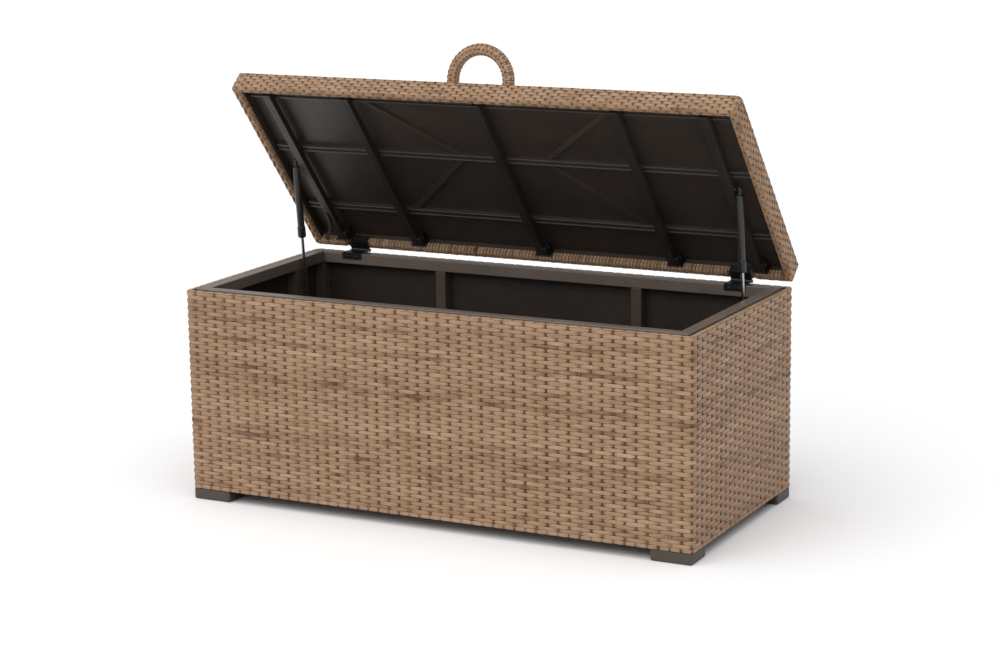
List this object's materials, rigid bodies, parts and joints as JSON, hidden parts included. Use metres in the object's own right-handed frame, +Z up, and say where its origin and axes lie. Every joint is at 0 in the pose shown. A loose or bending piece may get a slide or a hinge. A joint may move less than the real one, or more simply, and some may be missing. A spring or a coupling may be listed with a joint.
{
  "type": "wicker storage coffee table",
  "caption": "Rectangular woven wicker storage coffee table with a hinged tray-shaped lid held open by gas struts, an arched lift handle and block feet.",
  "frame": {"origin": "on the floor, at the centre of the bounding box seen from above, with the lid open", "axes": "+X along the length to the right, +Y to the hinged back, +Z up; the front faces -Y"},
  "size_m": [1.204, 0.5914, 1.0043],
  "materials": {
    "wicker": "flat woven resin strands with a fine lengthwise grain, tan brown",
    "liner": "smooth dark brown sheet, slight sheen",
    "foot_plastic": "moulded brown plastic, satin",
    "frame_metal": "brown powder coat, satin",
    "lid_frame_metal": "dark brown powder coat, satin",
    "black_hardware": "black paint, satin",
    "strut_body": "black painted steel tube, satin",
    "strut_rod": "polished rod"
  },
  "bodies": {
    "base": {"floor_panel": "liner", "foot_front_left": "foot_plastic", "foot_front_right": "foot_plastic", "foot_rear_left": "foot_plastic", "foot_rear_right": "foot_plastic", "hinge_base_leaf_left": "black_hardware", "hinge_base_leaf_right": "black_hardware", "liner_front": "liner", "liner_left": "liner", "liner_rear": "liner", "liner_right": "liner", "post_front_left": "frame_metal", "post_front_right": "frame_metal", "post_rear_left": "frame_metal", "post_rear_mid_left": "frame_metal", "post_rear_mid_right": "frame_metal", "post_rear_right": "frame_metal", "post_strut_left": "frame_metal", "post_strut_right": "frame_metal", "rim_front": "frame_metal", "rim_left": "frame_metal", "rim_rear": "frame_metal", "rim_right": "frame_metal", "sill_front": "frame_metal", "sill_left": "frame_metal", "sill_rear": "frame_metal", "sill_right": "frame_metal", "wicker_front": "wicker", "wicker_left": "wicker", "wicker_rear": "wicker", "wicker_right": "wicker"},
    "lid": {"handle": "wicker", "hinge_lid_leaf_left": "black_hardware", "hinge_lid_leaf_right": "black_hardware", "lid_brace_front_left": "lid_frame_metal", "lid_brace_front_right": "lid_frame_metal", "lid_brace_rear_left": "lid_frame_metal", "lid_brace_rear_right": "lid_frame_metal", "lid_bracket_2": "black_hardware", "lid_bracket_3": "black_hardware", "lid_bracket_4": "black_hardware", "lid_liner": "liner", "lid_rail_front": "lid_frame_metal", "lid_rail_middle": "lid_frame_metal", "lid_rail_rear": "lid_frame_metal", "lid_rib_1": "lid_frame_metal", "lid_rib_2": "lid_frame_metal", "lid_rib_3": "lid_frame_metal", "lid_rib_4": "lid_frame_metal", "lid_rib_5": "lid_frame_metal", "lid_side_front": "wicker", "lid_side_left": "wicker", "lid_side_rear": "wicker", "lid_side_right": "wicker", "lid_top": "wicker"},
    "strut_left": {"strut_cylinder_left": "strut_body"},
    "rod_left": {"strut_rod_left": "strut_rod"},
    "strut_right": {"strut_cylinder_right": "strut_body"},
    "rod_right": {"strut_rod_right": "strut_rod"}
  },
  "joints": [
    {"name": "lid_hinge", "type": "hinge", "parent": "base", "child": "lid", "pos_m": [0, 0.26383, 0.4755], "axis": [1, 0, 0], "range_deg": [0, 50]},
    {"name": "strut_pivot_left", "type": "hinge", "parent": "lid", "child": "strut_left", "pos_m": [-0.5435, 0.08738, 0.70601], "axis": [1, 0, 0], "range_deg": [-5.03, 0]},
    {"name": "strut_slide_left", "type": "slide", "parent": "strut_left", "child": "rod_left", "axis": [0, -0.0999, 0.995], "range_m": [0, 0.14937]},
    {"name": "strut_pivot_right", "type": "hinge", "parent": "lid", "child": "strut_right", "pos_m": [0.5435, 0.08738, 0.70601], "axis": [1, 0, 0], "range_deg": [-5.03, 0]},
    {"name": "strut_slide_right", "type": "slide", "parent": "strut_right", "child": "rod_right", "axis": [0, -0.0999, 0.995], "range_m": [0, 0.14937]}
  ],
  "couplings": [
    {"joint": "strut_pivot_left", "follows": "lid_hinge", "ratio": -0.09965},
    {"joint": "strut_slide_left", "follows": "lid_hinge", "m_per_rad": 0.17102},
    {"joint": "strut_pivot_right", "follows": "lid_hinge", "ratio": -0.09965},
    {"joint": "strut_slide_right", "follows": "lid_hinge", "m_per_rad": 0.17102}
  ]
}
